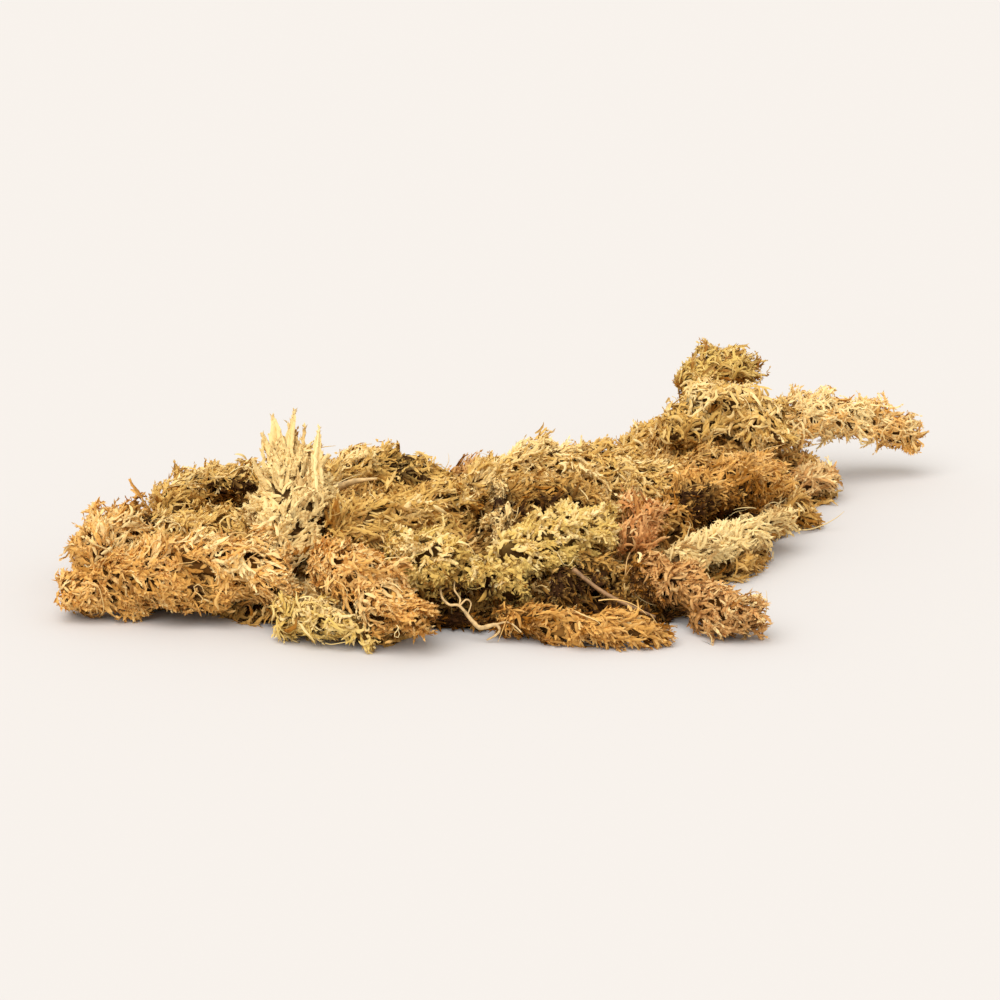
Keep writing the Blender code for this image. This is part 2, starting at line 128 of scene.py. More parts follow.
# The ropes, tufts and sprigs: the slot that they take their finish from, how they grow, their centre-line
# from root to tip as (x, y, z, radius) points in mm, how much paler than usual they are, and how far
# their branches part to the sides.
Plant = namedtuple("Plant", "slot habit line paler parting", defaults=[0.0, 0.6])
PLANTS = {
    "pale_tuft": Plant("straw", "flaky", [
        (-50, -42, 8.5, 4.5), (-48.5, -37, 12, 6.3), (-47.5, -31, 15.5, 6.8),
        (-47, -25.5, 18.5, 6.3), (-46.5, -21, 20, 4)], -0.06),
    "green_tuft": Plant("green", "scaly", [
        (-31, -40, 10, 4), (-27, -44, 10.5, 6), (-22, -47, 9.5, 6), (-18, -48, 8, 4)], 0.06),
    "leafy_tuft": Plant("green", "scaly", [
        (-12, -41, 9, 3.5), (-6, -38, 10, 5.5), (1, -33, 10.5, 6), (6.5, -29, 11, 4),
        (10, -26.5, 11, 1.5)]),
    "hump_rope": Plant("gold", "rope", [
        (-71, 2, 5, 3.5), (-68, 6, 9, 4), (-62, 7, 11.2, 4.2), (-55, 5, 11.8, 4.2),
        (-48, 2, 10.5, 3.8), (-43, 0, 8.5, 3)]),
    "top_tuft": Plant("green", "curly", [
        (34, 35, 20, 3.6), (38, 38, 22.5, 4.8), (43, 41, 24, 4.6), (47.5, 42, 23, 2.2)], -0.22),
    "red_tuft": Plant("rust", "tuft", [
        (11, -32, 8, 2.3), (13, -30, 10.5, 3.3), (14.4, -26.5, 12.2, 3.4),
        (15.5, -22.5, 13, 1.8)], -0.06),
    "ridge_rope": Plant("gold", "tuft", [
        (-14, -6, 11, 3.5), (-7, 0, 13, 5), (2, 4, 13.5, 5.5), (11, 3, 13.5, 5), (19, -2, 12.5, 4.5),
        (26, -8, 10, 3)]),
    "centre_rope": Plant("gold", "rope", [
        (-43, -10, 11, 3.5), (-38, -2, 13.5, 4.8), (-30, 3, 14, 5.2), (-22, 0, 12.6, 4.6),
        (-17, -8, 11, 3.2)]),
    "curled_rope": Plant("gold", "wormy", [
        (29, 20, 14, 3.6), (33, 24.5, 17.5, 5), (40, 28.5, 19, 5.8), (46.5, 26, 17, 5),
        (49.5, 19, 13, 3.5)], 0.04),
    "left_tuft": Plant("orange", "tuft", [
        (-81, -25, 5, 4.5), (-80, -18, 7, 6), (-77, -10, 7, 6), (-74, -3, 5, 3.5)]),
    "front_left_rope": Plant("orange", "rope", [
        (-87, -35, 4, 3.2), (-78, -37, 5.8, 5.5), (-67, -39, 7.5, 6.5), (-57, -41, 9, 6.5),
        (-48, -44, 9, 4.5)], 0.06),
    "front_rope": Plant("orange", "rope", [
        (-42, -45, 10, 4), (-39, -50, 10.5, 5.2), (-35, -54.5, 9, 5.2),
        (-32, -58, 6.2, 4.2), (-29.5, -60.5, 4.2, 2.6)], 0.0, 0.15),
    "front_tuft": Plant("green", "curly", [
        (-50, -51, 2.8, 2.6), (-45, -54, 3.6, 3.5), (-40, -56.5, 3.6, 3.5), (-35, -58.5, 2.8, 2.4)]),
    "green_knot": Plant("green", "scaly", [
        (-16, -46, 7, 3), (-12, -49, 7, 4.2), (-8, -50, 6, 3.3)]),
    "floor_strand": Plant("orange", "rope", [
        (-14, -53, 2.6, 2.3), (-8, -57, 3, 3.2), (0, -60, 3.1, 3.4), (7, -61.5, 2.7, 2.8),
        (13, -62, 1.9, 1.6)], -0.2),
    "brown_sprig": Plant("brown", "rope", [
        (11, -42, 6.5, 3.5), (15, -46, 6, 4.2), (20, -52, 4.8, 4.4), (24, -57.5, 3.9, 4),
        (27.5, -62, 3.3, 2.9)]),
    "pale_sprig": Plant("straw", "tuft", [
        (19, -35, 6, 2.6), (26, -29, 6, 3.2), (33, -21, 6, 3.3), (39, -14, 6.2, 2.9),
        (44, -9, 6.2, 1.5)]),
    "short_sprig": Plant("brown", "tuft", [
        (46, 15, 4.5, 2.8), (52, 20, 4.2, 3), (57.5, 24, 4, 2.8), (62.5, 27.5, 3.4, 1.4)]),
    "long_sprig": Plant("orange", "curly", [
        (46, 30, 12, 4.5), (52, 35, 12.5, 5.2), (58, 38, 13.2, 5.4), (64, 41, 13.2, 5.1),
        (72.5, 43, 11.8, 4.5), (79, 43.5, 9.8, 3.3), (84, 42.5, 6.6, 1.7)], 0.18),
    "right_rope": Plant("orange", "tuft", [
        (20, -17, 9.5, 3.5), (27, -13, 10.5, 5.2), (34, -6, 10.5, 6), (41, 2, 9.5, 5.5),
        (47, 10, 8, 3.5)], -0.14),
    "heart_rope": Plant("gold", "rope", [
        (-42, -35, 11.5, 3.5), (-35, -30, 13, 5.2), (-27, -26, 13.5, 5.5), (-19, -22, 12.5, 4.8),
        (-13, -17, 11, 3)]),
    "left_middle_rope": Plant("gold", "curly", [
        (-73, -12, 6.5, 3), (-67, -16, 8.5, 4.2), (-60, -19, 9.5, 4.5), (-54, -22, 9.5, 3)]),
    "back_left_rope": Plant("gold", "rope", [
        (-70, 13, 4, 3.2), (-61, 17, 5.5, 5), (-50, 20, 6, 5.5), (-39, 21, 6, 5.2), (-30, 22, 5, 3.5)]),
    "back_middle_rope": Plant("brown", "rope", [
        (-24, 20, 4.5, 3.5), (-15, 24, 4.5, 4.6), (-4, 27, 5, 5.4), (8, 30, 5.6, 5.2), (17, 35, 6, 3.5)]),
    "back_right_rope": Plant("gold", "rope", [
        (23, 44, 6, 4), (31, 49, 6.5, 5.2), (40, 52, 6, 4.8), (49, 53, 4.2, 2.8)]),
    "pale_strand": Plant("straw", "flaky", [
        (-10, -12, 15.5, 1.4), (-9.5, -18, 14.5, 2), (-10.5, -24, 13, 2.2), (-12, -29, 11, 1.4)]),
}

# Bare stems: the slot, and lines of (x, y, z, radius) points in mm. The first line is the node's own, and
# the others are hair-thin fibres that branch off it.
STEMS = {
    "bare_stem": ("stem", [
        [(-43, -16, 15, 0.6), (-39.5, -19, 17, 0.7), (-36, -21.5, 19, 0.5), (-32, -23, 19.8, 0.2)],
    ]),
    "root_fibre": ("stem", [
        [(-23.2, -51, 8.2, 0.16), (-23.1, -54, 7, 0.2), (-22, -55.5, 6.2, 0.24),
         (-20.4, -56, 6.1, 0.22), (-18.2, -57.3, 3.6, 0.36), (-17, -57.6, 2.7, 0.4),
         (-14.6, -57.8, 3.2, 0.3), (-13.9, -58.2, 2.4, 0.22), (-14.6, -58, 1.4, 0.2),
         (-16, -57.6, 0.5, 0.12)],
        [(-20.6, -50, 9, 0.12), (-21, -53.5, 8.2, 0.14), (-20.2, -55, 7, 0.16), (-20.6, -56, 6, 0.14)],
        [(-20.4, -56, 6.1, 0.16), (-19.2, -55.4, 7, 0.14), (-18.4, -55.2, 6.2, 0.12),
         (-19, -56.6, 5, 0.12)],
        [(-14.6, -57.8, 3.2, 0.18), (-12.4, -58.6, 3.8, 0.16), (-10.5, -60.4, 2.6, 0.12)],
    ]),
    "dark_twig": ("twig", [
        [(0, -46.5, 9, 0.4), (4, -50.5, 6.4, 0.36), (8, -53.8, 4.8, 0.3), (12.5, -57, 3.4, 0.2)],
    ]),
}

# The pale tuft's horns and stripes: how much paler than the tuft they are, and (x, y, z, reach) points in
# mm of the bundles of branches that make them.
HORNS = [
    (0.20, [
        (-51, -27, 19.5, 0.8), (-51.1, -33, 18.6, 0.8), (-50.4, -38.5, 15.6, 0.9),
        (-49.7, -43, 12, 0.7)]),
    (0.24, [
        (-43.4, -34, 17.5, 0.5), (-42.8, -30, 20.6, 1.0), (-42.8, -26.5, 23.4, 1.0),
        (-42.4, -23.5, 26, 0.6), (-42, -21, 29, 0.05)]),
    (-0.04, [
        (-49, -26, 20.5, 1.4), (-50.2, -24, 23.4, 1.3), (-51.2, -22.5, 26, 0.6), (-52, -21.5, 28, 0.05)]),
    (0.0, [
        (-48.6, -25, 21, 1.5), (-49.2, -22.5, 25, 1.3), (-49.6, -20.5, 28.6, 0.6),
        (-50.2, -19.6, 31, 0.05)]),
    (0.04, [
        (-48, -25, 21.5, 1.3), (-47.8, -22.5, 25, 1.0), (-47, -20.5, 28.6, 0.5),
        (-46.2, -19.4, 31.8, 0.05)]),
    (-0.02, [(-47.6, -26, 21, 1.2), (-46.4, -24.5, 23.4, 0.8), (-45.6, -23.5, 25.6, 0.05)]),
    (0.14, [(-43.6, -27, 21.5, 0.9), (-42, -26, 23.6, 0.5), (-40.6, -25.4, 24.8, 0.05)]),
    (0.28, [(-51, -32, 17.6, 0.5), (-53, -33.4, 18.8, 0.3), (-54.9, -34, 20.4, 0.05)]),
    (0.28, [(-51, -33, 17, 0.5), (-53.2, -34, 18, 0.3), (-55, -35, 18.1, 0.05)]),
    (0.20, [(-51, -31, 20, 0.4), (-52.8, -30.6, 22.8, 0.3), (-53.8, -30, 25.4, 0.05)]),
]

# Where the moss sinks into hollows that are darkened with painted shade, and where its tint is raised:
# middle and reach, in mm.
HOLLOWS = [
    (-62.1, 3.6, 9.4, 4), (-58, 1, 12, 4), (-54.3, -0.5, 12.8, 3), (-72, -6, 9, 4.5),
    (-74.4, -12, 7.5, 3.5), (-64.6, -45.7, 7.5, 3), (-33, -27, 13, 4), (-33.5, -40, 12, 4),
    (-13.7, -21, 13, 5), (-5.5, -18, 13, 5), (-0.6, -18, 12.4, 5), (5, -20, 12, 5), (10, -19, 12, 4),
    (-21.6, -51, 4, 7), (-17.5, -50, 4, 4), (-5.5, -51.9, 6, 5), (0.3, -47, 7, 6), (5.1, -47.9, 5.7, 7),
    (10, -52, 5, 6), (-3, -54, 6, 4), (24.4, -17, 12.5, 4.5), (28.4, -17.6, 9.5, 5),
    (34.8, -13, 7.5, 4.5), (38.6, -11.3, 10.5, 4), (20, -50, 1, 4), (32.4, 22.2, 20.5, 2.2),
    (30.7, 17.9, 16, 2.6), (38.8, 23.4, 20.5, 1.8), (35.9, 25, 12.5, 3), (-28.5, -0.4, 16.5, 4),
    (-36, -18, 15, 4), (-23.2, -4.5, 13.5, 3), (-47, -39.8, 16.4, 1.6),
]
PALE_SPOTS = [
    (5.5, 3, 18, 6), (-4, 3, 17.5, 5), (-48.9, -47.1, 10.5, 5), (-45, -45, 7, 4), (-55.9, 6, 16, 5),
    (-64, 7, 15, 5), (-34, 3, 18.5, 5), (-80, -27, 8.5, 8), (-34.6, -60, 9.8, 6), (28.6, -61.7, 3, 5),
    (-0.2, -39.8, 15.3, 5), (-53, -45, 11, 6), (3, -63, 5, 4), (42, 27, 21, 5), (7.5, -31.4, 14.6, 4),
    (-28.5, -49.1, 14.9, 4), (66, 38, 17.3, 7), (74, 39, 14, 5), (17, -4, 14, 4),
]


def screen(red, green, blue):
    """The light that a screen colour of 0 to 255 stands for."""
    shares = (c / 255 for c in (red, green, blue))
    return tuple(c / 12.92 if c <= 0.04045 else ((c + 0.055) / 1.055) ** 2.4 for c in shares)


def measure(name, description, default):
    """A length that the panel shows."""
    return FloatProperty(
        name=name, description=description, default=default, subtype="DISTANCE", unit="LENGTH")


def colour(name, description, default):
    """A colour that the panel shows."""
    return FloatVectorProperty(
        name=name, description=description, default=default, subtype="COLOR", min=0, max=1)


class MossSizes(bpy.types.PropertyGroup):
    """Sizes of what grows on the clump."""

    size: FloatProperty(
        name="Leaf size", description="Scale of every leaf", default=1.0, min=0.5, max=2)
    density: FloatProperty(
        name="Density", description="Scale of how many branches grow", default=1.0, min=0.2, max=2)
    root_depth: measure("Root depth", "How deep under the skin a branch starts", 1.6 * MM)
    tip_height: measure("Tip height", "How far over the skin a common branch ends", 0.4 * MM)
    wild_height: measure("Wild tip height", "How far over the skin a wild branch ends", 1.6 * MM)
    relief: measure("Relief", "How far the skin rises into locks and sinks in dips", 1.15 * MM)
    leaves: IntProperty(name="Leaves", description="Leaves on one branch", default=7, min=4, max=80)


class MossColours(bpy.types.PropertyGroup):
    """Colours: the middle one of each slot's moss, three that all moss shares, and the bare stems'."""

    mat: colour("Mat", "Middle colour of the matted moss", screen(208, 162, 86))
    orange: colour("Orange", "Middle colour of the orange ropes", screen(230, 176, 94))
    gold: colour("Gold", "Middle colour of the golden ropes", screen(222, 180, 98))
    straw: colour("Straw", "Middle colour of the pale tufts", screen(240, 210, 144))
    green: colour("Green", "Middle colour of the yellow-green tufts", screen(226, 192, 106))
    brown: colour("Brown", "Middle colour of the brown sprigs", screen(214, 162, 98))
    rust: colour("Rust", "Middle colour of the orange-red tuft", screen(220, 156, 92))
    old: colour("Old", "Oldest leaves", screen(156, 98, 26))
    # Deep is painted shade, for the shadow between leaves, at their feet and on the body below.
    deep: colour("Deep", "What lies deep between the leaves", screen(54, 29, 8))
    bleached: colour("Bleached", "Leaves that have gone pale", screen(250, 224, 162))
    stem: colour("Stem", "Bare stems", screen(222, 186, 128))
    twig: colour("Twig", "The dark twig", screen(158, 118, 76))


class MossStage(bpy.types.PropertyGroup):
    """The floor, the light and the camera."""

    floor: colour("Floor", "The pale floor, which the light turns almost white", screen(214, 211, 209))
    reach: measure("Floor reach", "Radius of the floor", 6.0)
    key: FloatProperty(name="Key light", description="Strength of the soft sun", default=2.3)
    key_angle: FloatProperty(
        name="Softness", description="How wide the sun is", default=math.radians(60), subtype="ANGLE")
    fill: FloatProperty(
        name="Fill light", description="Strength of the light from all round", default=0.8)
    warmth: colour("Fill colour", "Colour of the light from all round", (1, 0.96, 0.90))
    sky: colour("Sky", "What shows behind the floor", screen(249, 243, 238))
    lens: FloatProperty(
        name="Lens", description="Focal length in mm on a frame 36 mm wide", default=91)


# A surface's points and their outward directions. What has grown: its points, its triangles, and for each
# point its tint, how far along its leaf it is, and to which side. Tint and along also carry painted
# light and shade: a low along takes the deep colour, which is painted shade.
Skin = namedtuple("Skin", "place out")
Growth = namedtuple("Growth", "points faces tint along side")


def unit(vectors):
    """Vectors brought to length one."""
    return vectors / np.maximum(np.linalg.norm(vectors, axis=-1, keepdims=True), 1e-12)


def dot(one, other):
    """The scalar product of two stacks of vectors, kept as a column."""
    return (one * other).sum(-1, keepdims=True)


def nearest(points, places):
    """The number of the point nearest to each place, and its distance.

    The square of the distance is p.p - 2p.q + q.q, and q.q is the same for every point.
    """
    square = (points**2).sum(1)
    found, block = np.empty(len(places), int), 2000
    for start in range(0, len(places), block):
        here = places[start : start + block]
        found[start : start + block] = np.argmin(square - 2 * here @ points.T, axis=1)
    return found, np.linalg.norm(points[found] - places, axis=1)


def waves(places, length, seed):
    """A slow change over places, mostly from -1 to 1: a sum of sine waves in random directions."""
    rng, count = np.random.default_rng(seed), 8
    ahead = unit(rng.normal(size=(count, 3))) * TAU / length * rng.uniform(0.6, 1.6, (count, 1))
    return np.sin(places @ ahead.T + rng.uniform(0, TAU, count)).sum(1) / math.sqrt(count)


def triangles_of(node):
    """The corners of a node's triangles as rows of three points."""
    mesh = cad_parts[node].data
    mesh.calc_loop_triangles()
    corners = np.empty(len(mesh.loop_triangles) * 3, np.int32)
    mesh.loop_triangles.foreach_get("vertices", corners)
    places = np.empty(len(mesh.vertices) * 3, np.float32)
    mesh.vertices.foreach_get("co", places)
    return places.astype(float).reshape(-1, 3)[corners].reshape(-1, 3, 3)


def merged(corners):
    """The separate points of a set of triangles, the triangles as their numbers, and outward directions.

    A point's outward direction is the mean of its triangles' directions by their area.
    """
    _, first, number = np.unique(
        np.round(corners.reshape(-1, 3) / WELD), axis=0, return_index=True, return_inverse=True)
    points, number = corners.reshape(-1, 3)[first], number.ravel()
    faces = np.cross(corners[:, 1] - corners[:, 0], corners[:, 2] - corners[:, 0])
    out = np.zeros_like(points)
    np.add.at(out, number, np.repeat(faces, 3, axis=0))
    return points, number.reshape(-1, 3), unit(out)


def scattered(node, spacing, rng):
    """Points spread over a node's surface, one for each square of the spacing.

    A point is drawn by its triangle's area and by two random shares of that triangle's sides.
    """
    points, faces, outs = merged(triangles_of(node))
    corners, outs = points[faces], outs[faces]
    sides = corners[:, 1:] - corners[:, :1]
    area = np.linalg.norm(np.cross(sides[:, 0], sides[:, 1]), axis=1) / 2
    count, summed = max(int(area.sum() / spacing**2), 4), np.cumsum(area) / area.sum()
    pick = np.searchsorted(summed, (np.arange(count) + rng.random(count)) / count)
    pick = np.minimum(pick, len(area) - 1)
    a, b = rng.random((2, count, 1))
    a, b = np.where(a + b > 1, 1 - a, a), np.where(a + b > 1, 1 - b, b)
    weights = np.stack([1 - a - b, a, b], 1)
    return Skin((corners[pick] * weights).sum(1), unit((outs[pick] * weights).sum(1)))


def height_over(skin, places):
    """How high each place stands over the nearest skin point, and the way out there."""
    near, _ = nearest(skin.place, places)
    return dot(places - skin.place[near], skin.out[near]), skin.out[near]


def uncovered(skin, others):
    """Which points of a skin don't lie against another: one that faces them within the gap."""
    gap, facing = 1.0 * MM, -0.5
    near, distance = nearest(others.place, skin.place)
    return (distance > gap) | (dot(others.out[near], skin.out)[:, 0] > facing)


def smooth_line(line, steps=6):
    """Points of the Catmull-Rom curve through the given ones, whatever numbers each holds."""
    ends = np.array([line[0], *line, line[-1]], float)
    before, start, end, after = ends[:-3], ends[1:-2], ends[2:-1], ends[3:]
    t = (np.arange(steps) / steps)[:, None, None]
    curve = 0.5 * (
        2 * start
        + t * (end - before)
        + t**2 * (2 * before - 5 * start + 4 * end - after)
        + t**3 * (3 * start - before - 3 * end + after)
    )
    return np.vstack([curve.transpose(1, 0, 2).reshape(-1, ends.shape[1]), ends[-1:]])


Guide = namedtuple("Guide", "place radius ahead left")


def guide_of(line):
    """A plant's guide: points along its centre-line in metres, with what it is like at each.

    That is its radius, its direction, and how much of it is left there.
    """
    rows = smooth_line(line)
    place = (rows[:, :3] + ZERO) * MM
    steps = np.linalg.norm(np.diff(place, axis=0), axis=1)
    left = np.append(np.cumsum(steps[::-1])[::-1], 0)
    return Guide(place, rows[:, 3] * MM, unit(np.gradient(place, axis=0)), left)


# The way from a plant's centre-line to its crest, from which its branches part to both sides.
CREST = np.array([0.0, -0.45, 0.9])


def rope_flow(guide, parting, places):
    """The way a plant grows at each place, how far it still goes, and how far back a shoot's foot is.

    It grows along the guide, away from its crest on both sides as a feather's barbs lie, and
    outward where a side shoot stands off it.
    """
    near, distance = nearest(guide.place, places)
    ahead, away = guide.ahead[near], unit(places - guide.place[near])
    beside = np.clip(2 * dot(np.cross(CREST, away), ahead), -1, 1)
    parted = beside * parting * np.clip(0.6 + away[:, 2:], 0, 1)
    stands = np.clip((distance / guide.radius[near] - SHOOT_FROM) * 1.5, 0, 1.5)[:, None]
    flow = ahead + np.cross(ahead, away) * parted + away * (0.12 + stands)
    shoot = np.minimum(stands[:, 0], 1)
    back = np.clip(distance - guide.radius[near], 0, LONGEST_SHOOT)
    return unit(flow), guide.left[near] * (1 - 0.4 * shoot), back * shoot


def mat_flow(places):
    """The way the mat's moss lies at each place, how far it goes on, and that it has no side shoots.

    It has one main direction on the floor, turned by slow waves, and points down a little.
    """
    main, swing, down, goes_on = math.radians(25), math.radians(75), -0.15, 20 * MM
    turn = main + swing * waves(places, DRIFTS, 5)
    flow = np.stack([np.cos(turn), np.sin(turn), np.full(len(turn), down)], 1)
    return flow, np.full(len(turn), goes_on), np.zeros(len(turn))


def crept(skin, place, out, heading, heights, rise, strides, turns):
    """Points of strands that creep over a skin, and the skin's outward direction at each.

    A stride goes along the heading, laid flat on the skin and turned a little. Its end is then
    brought to its height over the nearest skin point, and by its rise over the relief there, as
    far as the most that a stride may climb. Where the skin ends, a strand runs straight on.
    """
    points, outs, climb = [place], [out], 1 * MM
    for height, rising, turn in zip(heights.T[1:], rise[1:], turns.T):
        leaves = np.clip(dot(heading, out) * 2 - 0.8, 0, 1)
        flat = unit(heading - out * dot(heading, out) * (1 - leaves))
        turn = turn[:, None]
        heading = unit(flat * np.cos(turn) + np.cross(out, flat) * np.sin(turn))
        place = place + heading * strides[:, None] * (1 - 0.5 * leaves)
        stands, up = height_over(skin, place)
        out = unit(out + up)
        off = (height + rising * relief(place))[:, None] - stands
        place = place + up * np.clip(off, -climb, climb) * (1 - leaves)
        points.append(place)
        outs.append(out)
    return np.stack(points, 1), np.stack(outs, 1)


def arcs(place, heading, out, length, lift, droop, curl, wriggle, steps):
    """Points of free strands, which are the running sum of their steps.

    Each sets off along its heading, lifted off the skin, and bends down by its droop and sideways
    by its curl at an even rate, and to and fro by its wriggle.
    """
    share = (np.arange(steps) + 0.5) / steps
    side = np.cross(out, heading)
    yaw = curl[:, None] * share + wriggle[:, None] * np.sin(TAU * share)
    pitch = lift[:, None] - droop[:, None] * share
    step = (
        (np.cos(pitch) * np.cos(yaw))[..., None] * heading[:, None]
        + (np.cos(pitch) * np.sin(yaw))[..., None] * side[:, None]
        + np.sin(pitch)[..., None] * out[:, None]
    )
    path = np.cumsum(step * (length / steps)[:, None, None], axis=1) + place[:, None]
    points = np.concatenate([place[:, None], path], axis=1)
    return points, np.repeat(out[:, None], steps + 1, axis=1)


def frames(paths, outs):
    """The direction, the side and the upper side of paths at each of their points."""
    ahead = unit(np.gradient(paths, axis=1))
    side = unit(np.cross(ahead, outs))
    return ahead, side, np.cross(side, ahead)


def leaves_round(paths, outs, habit, count, tint, along, scale, rng):
    """Pointed leaves in a spiral round each strand, each two triangles folded on the midrib.

    A leaf has a foot at the strand, two wings near its middle, and a tip that leans forward and
    out. Towards the strand's end leaves get shorter and stand off less.
    """
    strands, rows = paths.shape[:2]
    share = (np.arange(count) + 0.5) / count
    row = (share * (rows - 1)).astype(int)
    rest = (share * (rows - 1) - row)[:, None]
    ahead, side, up = (a[:, row] for a in frames(paths, outs))
    foot = paths[:, row] * (1 - rest) + paths[:, row + 1] * rest
    spiral = np.arange(count) * GOLDEN_ANGLE + rng.uniform(0, TAU, (strands, 1))
    turn = (spiral % TAU - math.pi) * LEAVES_ROUND
    away = np.cos(turn)[..., None] * up + np.sin(turn)[..., None] * side
    across = np.cross(ahead, away)
    each = rng.uniform(0.7, 1.3, (3, strands, count, 1))
    taper = (1 - LEAVES_TAPER * share**2)[:, None] * scale[:, None, None]
    spread = math.radians(habit.spread) * (1.25 - 0.7 * share)[:, None] * each[0]
    lean = np.cos(spread) * ahead + np.sin(spread) * away
    length = habit.leaf * MM * taper * each[1]
    half = habit.width * MM / 2 * taper * each[2]
    base = foot + away * habit.half * MM * LEAF_FOOT
    middle = base + lean * length * WINGS_ALONG - away * half * WINGS_IN
    tip = base + (lean + away * rng.uniform(-0.15, 0.35, (strands, count, 1))) * length
    points = np.stack([base, middle + across * half, tip, middle - across * half], 2)
    quad = np.arange(strands * count)[:, None, None] * 4
    faces = (quad + np.array([[0, 1, 2], [0, 2, 3]])).reshape(-1, 3)
    leaf_tint = tint[:, None] + rng.normal(0, 0.03, (strands, count))
    # Painted shade darkens each leaf's foot and the leaves near the strand's foot.
    shaded_along = along[:, None, None] - 0.06 + 0.25 * share[None, :, None]
    return Growth(
        points.reshape(-1, 3),
        faces,
        np.repeat(leaf_tint.ravel(), 4),
        (shaded_along + np.array([0.0, 0.15, 0.3, 0.15])).ravel(),
        np.tile([0.0, 1.0, 0.0, -1.0], strands * count),
    )


def grid_faces(strands, rows, columns, closed):
    """The triangles of strands that are grids of points, two for each cell of the grid.

    A cell lies between neighbouring rows and columns. The last column of a closed grid joins the
    first.
    """
    row, column = np.mgrid[: rows - 1, : columns if closed else columns - 1]
    here = row * columns + column
    beside = row * columns + (column + 1) % columns
    cell = np.stack([here, beside, beside + columns, here, beside + columns, here + columns], -1)
    return (cell.reshape(-1, 3) + np.arange(strands)[:, None, None] * rows * columns).reshape(-1, 3)


def blades(paths, outs, half, twist, tint, along, rng):
    """Rounded strips carried along their paths, blunt at both ends.

    Across, a strip has two edges and a raised midrib between them. Along it, at a share s, its
    width goes as (1 - |2s - 0.9| ** 2.6) ** 0.6. It turns about its path by its twist, and its
    width and midrib vary by chance.
    """
    strands, rows = paths.shape[:2]
    _, side, up = frames(paths, outs)
    share = np.linspace(0, 1, rows)
    turn = (twist[:, None] * share)[..., None]
    across = side * np.cos(turn) + up * np.sin(turn)
    above = up * np.cos(turn) - side * np.sin(turn)
    blunt = np.maximum(1 - np.abs(2 * share - 0.9) ** 2.6, 0.03) ** 0.6
    width = (half[:, None] * blunt * rng.uniform(0.78, 1.15, (strands, rows)))[..., None, None]
    columns = np.array([-1.0, 0.0, 1.0])[:, None]
    ridge = (1 - np.abs(columns)) * rng.uniform(0.6, 1.1, (strands, rows, 1, 1))
    points = paths[:, :, None] + width * (across[:, :, None] * columns + above[:, :, None] * ridge)
    # Along rises towards the strip's end, so its foot takes more of the deep painted shade.
    return Growth(
        points.reshape(-1, 3),
        grid_faces(strands, rows, 3, False),
        np.repeat(tint, rows * 3),
        np.repeat(np.add.outer(along, 0.35 * share).ravel(), 3),
        np.tile(columns.ravel(), strands * rows),
    )


def rings(side, up, sides):
    """The outward directions of a ring of points round each path point, and their angles."""
    turn = np.arange(sides) / sides * TAU
    return np.cos(turn)[:, None] * up[..., None, :] + np.sin(turn)[:, None] * side[..., None, :], turn


def threads(paths, outs, radius, tint, along):
    """Thin tubes along their paths, rings of points that get smaller towards the end."""
    strands, rows = paths.shape[:2]
    _, side, up = frames(paths, outs)
    share = np.linspace(0, 1, rows)
    ring, turn = rings(side, up, THREAD_SIDES)
    thick = (radius[:, None] * (1 - 0.75 * share**2))[..., None, None]
    return Growth(
        (paths[:, :, None] + ring * thick).reshape(-1, 3),
        grid_faces(strands, rows, THREAD_SIDES, True),
        np.repeat(tint, rows * THREAD_SIDES),
        np.repeat(np.add.outer(along, 0.3 * share).ravel(), THREAD_SIDES),
        np.tile(np.cos(turn), strands * rows),
    )


def horns(habit, tint, rng):
    """The horns and stripes of the pale tuft, as bundles of leafy branches.

    The branches run along each line inside its reach, and meet where that ends.
    """
    growths = []
    for paler, line in HORNS:
        rows = smooth_line(line, 4)
        around = rng.normal(0, 0.6, (HORN_STRANDS, 1, 3))
        around = around + rng.normal(0, 0.12, (HORN_STRANDS, len(rows), 3))
        paths = (rows[:, :3] + ZERO + around * rows[:, 3:]) * MM
        outs = np.tile(unit(np.array([0.0, -1.0, 0.5])), (HORN_STRANDS, len(rows), 1))
        shade = tint + paler + rng.normal(0, 0.07, HORN_STRANDS)
        half = habit.half * MM * rng.uniform(0.8, 1.3, HORN_STRANDS)
        twist, along = rng.normal(0, 0.6, HORN_STRANDS), rng.uniform(0.35, 0.5, HORN_STRANDS)
        scale = np.full(HORN_STRANDS, 0.9)
        growths.append(blades(paths, outs, half, twist, shade, along, rng))
        growths.append(leaves_round(paths, outs, habit, HORN_LEAVES, shade, along, scale, rng))
    return growths


def finer(rows, faces):
    """Triangles split into four at the middles of their sides, whatever numbers their corners hold."""
    sides = np.sort(faces[:, [[0, 1], [1, 2], [2, 0]]].reshape(-1, 2), axis=1)
    pairs, number = np.unique(sides, axis=0, return_inverse=True)
    a, b, c = faces.T
    ab, bc, ca = (number.ravel().reshape(-1, 3) + len(rows)).T
    split = np.stack([a, ab, ca, ab, b, bc, ca, bc, c, ab, bc, ca], 1).reshape(-1, 3)
    return np.vstack([rows, rows[pairs].mean(1)]), split


